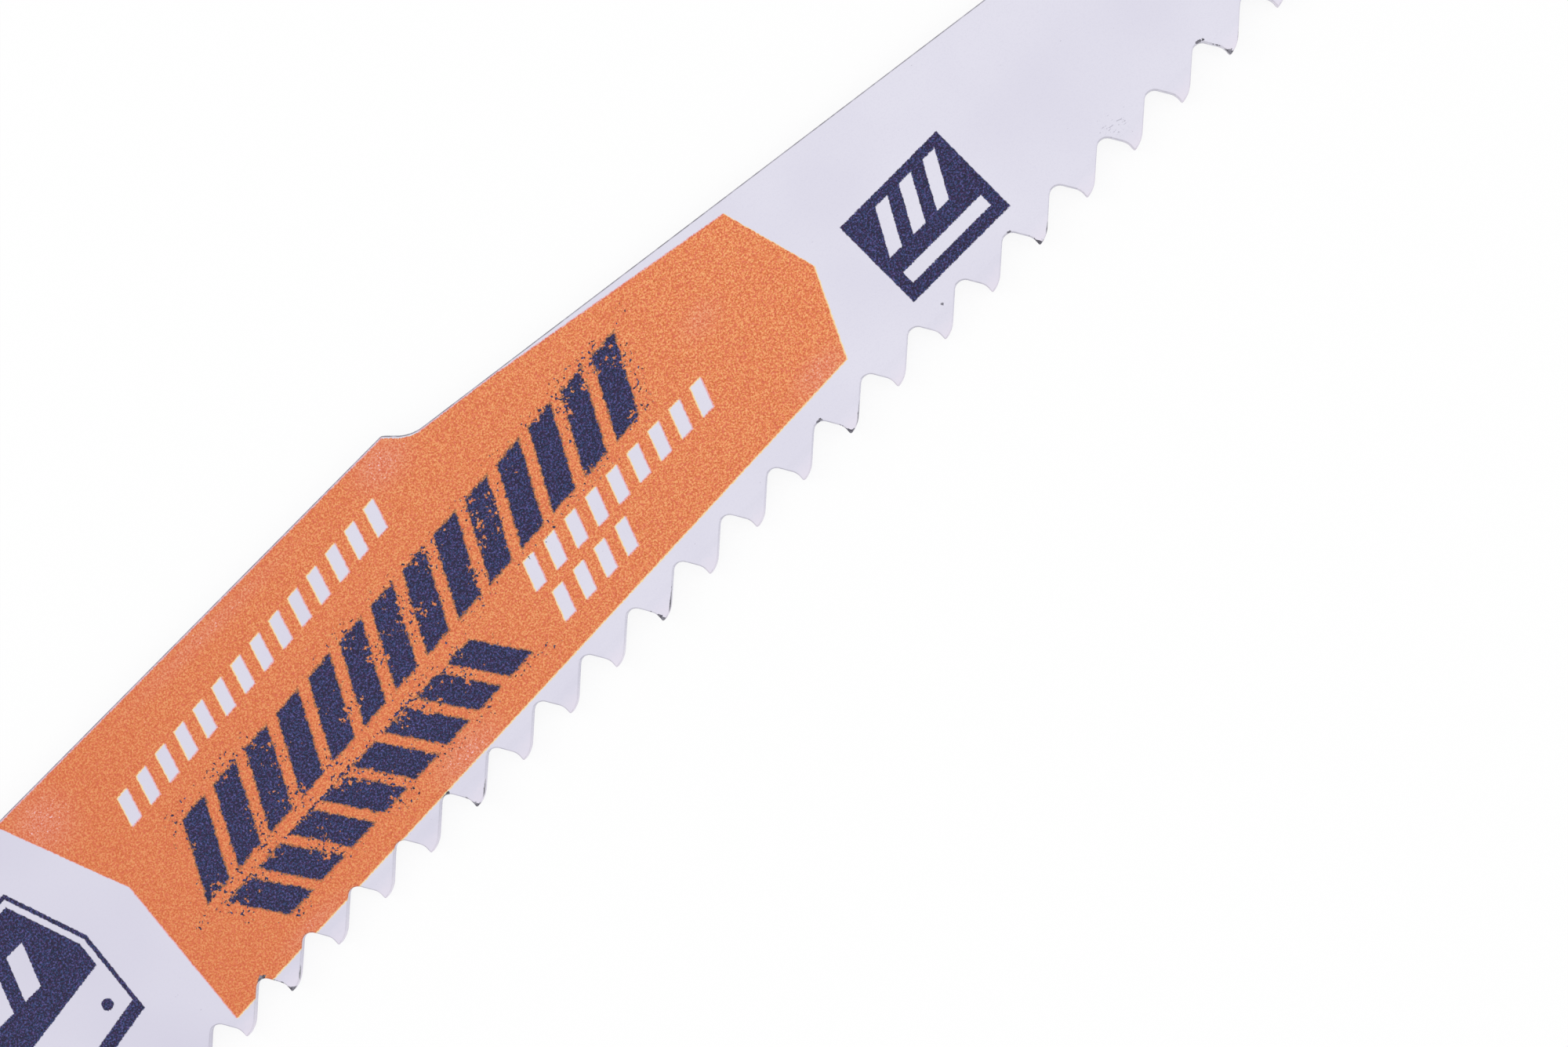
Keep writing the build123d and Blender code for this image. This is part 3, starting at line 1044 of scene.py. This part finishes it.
tooth = tooth_plate()
blank = body_plate()
inputs = {
    "Tooth": ("Object", tooth),
    "Teeth": ("Int", tooth_count - 1),
    "First Tip": ("Float", first_tip_x * MM),
    "First Column": ("Float", columns[0] * MM),
    "Pitch": ("Float", tooth_pitch * MM),
    "Bend Line": ("Float", bend_y * MM),
    "Bend Radius": ("Float", set_bend_radius * MM),
    "Set Angle": ("Float", radians(set_angle)),
    "Weld Distance": ("Float", weld_distance * MM),
    "Paint": ("Material", plain_paint),
}
row = blank.modifiers.new("Toothed edge", "NODES")
row.node_group = tooth_row_tree(inputs)
for item in row.node_group.interface.items_tree:
    if item.in_out == "INPUT" and item.name in inputs:
        row[item.identifier] = inputs[item.name][1]
edges = blank.modifiers.new("Broken edges", "BEVEL")
edges.width = edge_break * MM
edges.segments = 2
edges.limit_method = "ANGLE"
edges.angle_limit = radians(40)
edges.use_clamp_overlap = False
edges.miter_outer = "MITER_ARC"
flats = blank.modifiers.new("Flat faces", "WEIGHTED_NORMAL")
flats.keep_sharp = False
for mesh in (blank.data, tooth.data):
    for polygon in mesh.polygons:
        polygon.use_smooth = True

ready = blank.evaluated_get(bpy.context.evaluated_depsgraph_get())
blade_mesh = bpy.data.meshes.new_from_object(ready)
blade_mesh.name = "blade_face"
blade = added("blade_face", blade_mesh)
bpy.data.objects.remove(blank)
bpy.data.objects.remove(tooth)

# Walls lean up to the set angle where a tooth is bent, and the edge roundings lean more
wall_lean = 0.19
flat_lean = 0.97
blade_mesh.materials.clear()
for material in (plain_paint, printed_paint, toothed_paint):
    blade_mesh.materials.append(material)
for polygon in blade_mesh.polygons:
    in_row = polygon.center.y < row_top * MM and polygon.center.x > columns[0] * MM
    if polygon.normal.z > wall_lean:
        polygon.material_index = 2 if in_row else 1
    else:
        polygon.material_index = 2 if in_row and abs(polygon.normal.z) < wall_lean else 0


def mark_rims():
    """Marks how far each corner is round an upper edge, from 0 on the flat to 1 at the wall, and
    the foot of each wall, for the dark edge line of painted shade. The marks are faint on the
    reliefs, which face the nose."""
    foot_mark, faint_share, facing_nose = 0.5, 0.22, 0.1
    rim = blade_mesh.attributes.new("rim", "FLOAT", "CORNER")
    flat_spots = set()
    wall_spots = set()
    for polygon in blade_mesh.polygons:
        if abs(polygon.normal.z) > flat_lean:
            flat_spots.update(polygon.vertices)
        elif abs(polygon.normal.z) < wall_lean:
            wall_spots.update(polygon.vertices)
    for polygon in blade_mesh.polygons:
        lean = abs(polygon.normal.z)
        faint = polygon.normal.x > facing_nose and polygon.center.y < row_top * MM
        for corner in polygon.loop_indices:
            spot = blade_mesh.loops[corner].vertex_index
            value = 0.0
            if lean < wall_lean:
                value = foot_mark if blade_mesh.vertices[spot].co.z < 0 else 0.0
            elif lean < flat_lean and polygon.normal.z > 0:
                value = 1.0 if spot in wall_spots else 0.0 if spot in flat_spots else 0.5
            rim.data[corner].value = value * faint_share if faint else value


mark_rims()


def walls_beside(face, left):
    """The walls still left that stand beside one of them, across its upright edges."""
    upright = 0.0004
    return [
        other
        for edge in face.edges
        if abs(edge.verts[0].co.z - edge.verts[1].co.z) > upright
        for other in edge.link_faces
        if other.index in left
    ]


def unroll():
    """Lays the mesh out flat for the export: the face in three lengths, its back and its walls."""
    margin, gap, chart_width = 0.02, 0.006, 0.90

    # Room on the blade, in metres: a length of face, its height, a wall's height and its foot
    longest, face_height, wall_height, wall_foot = 0.0885, 0.0262, 0.0026, 0.0011
    scale = chart_width / longest
    back_scale = scale / 3
    wall_scale = back_scale * 2
    strip = face_height * scale
    chart = blade_mesh.uv_layers.new(name="OFBake")
    cuts = (columns[first_cut] * MM, columns[second_cut] * MM)
    left_ends = (tang_end_x * MM, *cuts)
    for polygon in blade_mesh.polygons:
        if abs(polygon.normal.z) < wall_lean:
            continue
        number = sum(polygon.center.x >= cut for cut in cuts)
        for corner in polygon.loop_indices:
            spot = blade_mesh.vertices[blade_mesh.loops[corner].vertex_index].co
            if polygon.normal.z > 0:
                u = margin + (spot.x - left_ends[number]) * scale
                v = margin + number * strip + (spot.y + back_y * MM) * scale
            else:
                u = margin + (spot.x - left_ends[0]) * back_scale
                v = margin + 3 * strip + (spot.y + back_y * MM) * back_scale
            chart.data[corner].uv = (u, v)

    # Walls: followed round the outline from face to face, and laid in rows
    work = bmesh.new()
    work.from_mesh(blade_mesh)
    work.faces.ensure_lookup_table()
    left = {face.index for face in work.faces if abs(face.normal.z) < wall_lean}
    top = margin + 3 * strip + face_height * back_scale + gap
    across = margin
    while left:
        chain = [work.faces[min(left)]]
        left.discard(chain[0].index)
        for grow_ahead in (True, False):
            while beside := walls_beside(chain[-1 if grow_ahead else 0], left):
                left.discard(beside[-1].index)
                chain.insert(len(chain) if grow_ahead else 0, beside[-1])
        for face in chain:
            flat_points = [Vector((loop.vert.co.x, loop.vert.co.y)) for loop in face.loops]
            first = flat_points[0]
            far = max(flat_points, key=lambda point: (point - first).length)
            run = (far - first).normalized()
            spans = [(point - first).dot(run) for point in flat_points]
            length = (max(spans) - min(spans)) * back_scale
            if across + length > chart_width:
                across = margin
                top += wall_height * wall_scale
            for loop, span in zip(face.loops, spans):
                u = across + (span - min(spans)) * back_scale
                v = top + (loop.vert.co.z + wall_foot) * wall_scale
                chart.data[loop.index].uv = (u, v)
            across += length
    work.free()


unroll()
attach(blade, "root")
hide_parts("blade")


# Studio


def studio_floor():
    """A white table: white to the camera, with the blade's soft shadow kept on it."""
    mesh = bpy.data.meshes.new("studio_floor")
    reach, white_share = 3.0, 0.86
    level = cad_box[0].z
    corners = [(x * reach, y * reach, level) for x, y in ((-1, -1), (1, -1), (1, 1), (-1, 1))]
    mesh.from_pydata(corners, [], [(0, 1, 2, 3)])
    piece = added("studio_floor", mesh)
    material = bpy.data.materials.new("studio_floor")
    bench, shown = cleared(material, "ShaderNodeOutputMaterial")
    cloth = bench.fill(bench.place("ShaderNodeBsdfDiffuse"), Color=(0.95, 0.95, 0.95, 1.0))[0]
    lit = bench.fill(bench.place("ShaderNodeEmission"), Strength=1.0)[0]
    rays = bench.place("ShaderNodeLightPath").outputs
    seen = bench.most(rays["Is Camera Ray"], rays["Is Glossy Ray"])
    blend = bench.place("ShaderNodeMixShader")
    for socket, value in zip(blend.inputs, (bench.product(seen, white_share), cloth, lit)):
        bench.feed(socket, value)
    bench.feed(shown, blend.outputs[0])
    mesh.materials.append(material)


def soft_lamp(name, place, aim, size, power):
    """A square soft lamp at a place, turned to face its aim."""
    lamp = bpy.data.lights.new(name, "AREA")
    lamp.shape = "SQUARE"
    lamp.size = size
    lamp.energy = power
    holder = added(name, lamp)
    holder.location = place
    holder.rotation_euler = (Vector(aim) - Vector(place)).to_track_quat("-Z", "Y").to_euler()


studio_floor()
blade_middle = (0.11, 0.0, 0.0)
soft_lamp("key_lamp", (-0.35, 0.75, 0.8), blade_middle, 0.7, 1.6)
soft_lamp("fill_lamp", (0.8, -0.5, 0.9), blade_middle, 0.9, 1.0)

# The surround is white to the camera, and a little less on the blade
world = bpy.data.worlds.new("studio")
bench, shown = cleared(world, "ShaderNodeOutputWorld")
rays = bench.place("ShaderNodeLightPath").outputs
seen = bench.most(rays["Is Camera Ray"], rays["Is Transmission Ray"])
strength = bench.ramp(seen, 0.0, 1.0, 0.92, 1.0)
surround = bench.fill(
    bench.place("ShaderNodeBackground"), Color=(1.0, 1.0, 1.0, 1.0), Strength=strength
)
bench.feed(shown, surround[0])
bpy.context.scene.world = world

lens = bpy.data.cameras.new("camera")
lens.lens = 105.0
lens.sensor_width = 36.0
lens.sensor_fit = "HORIZONTAL"
lens.clip_start = 0.01
lens.clip_end = 20.0
camera = added("camera", lens)
camera.location = (0.15836, -0.018268, 0.349583)
camera.rotation_euler = Euler((radians(-2.2582), radians(3.2706), radians(-44.979)), "XYZ")
bpy.context.scene.camera = camera
bpy.context.scene.view_settings.view_transform = "Standard"
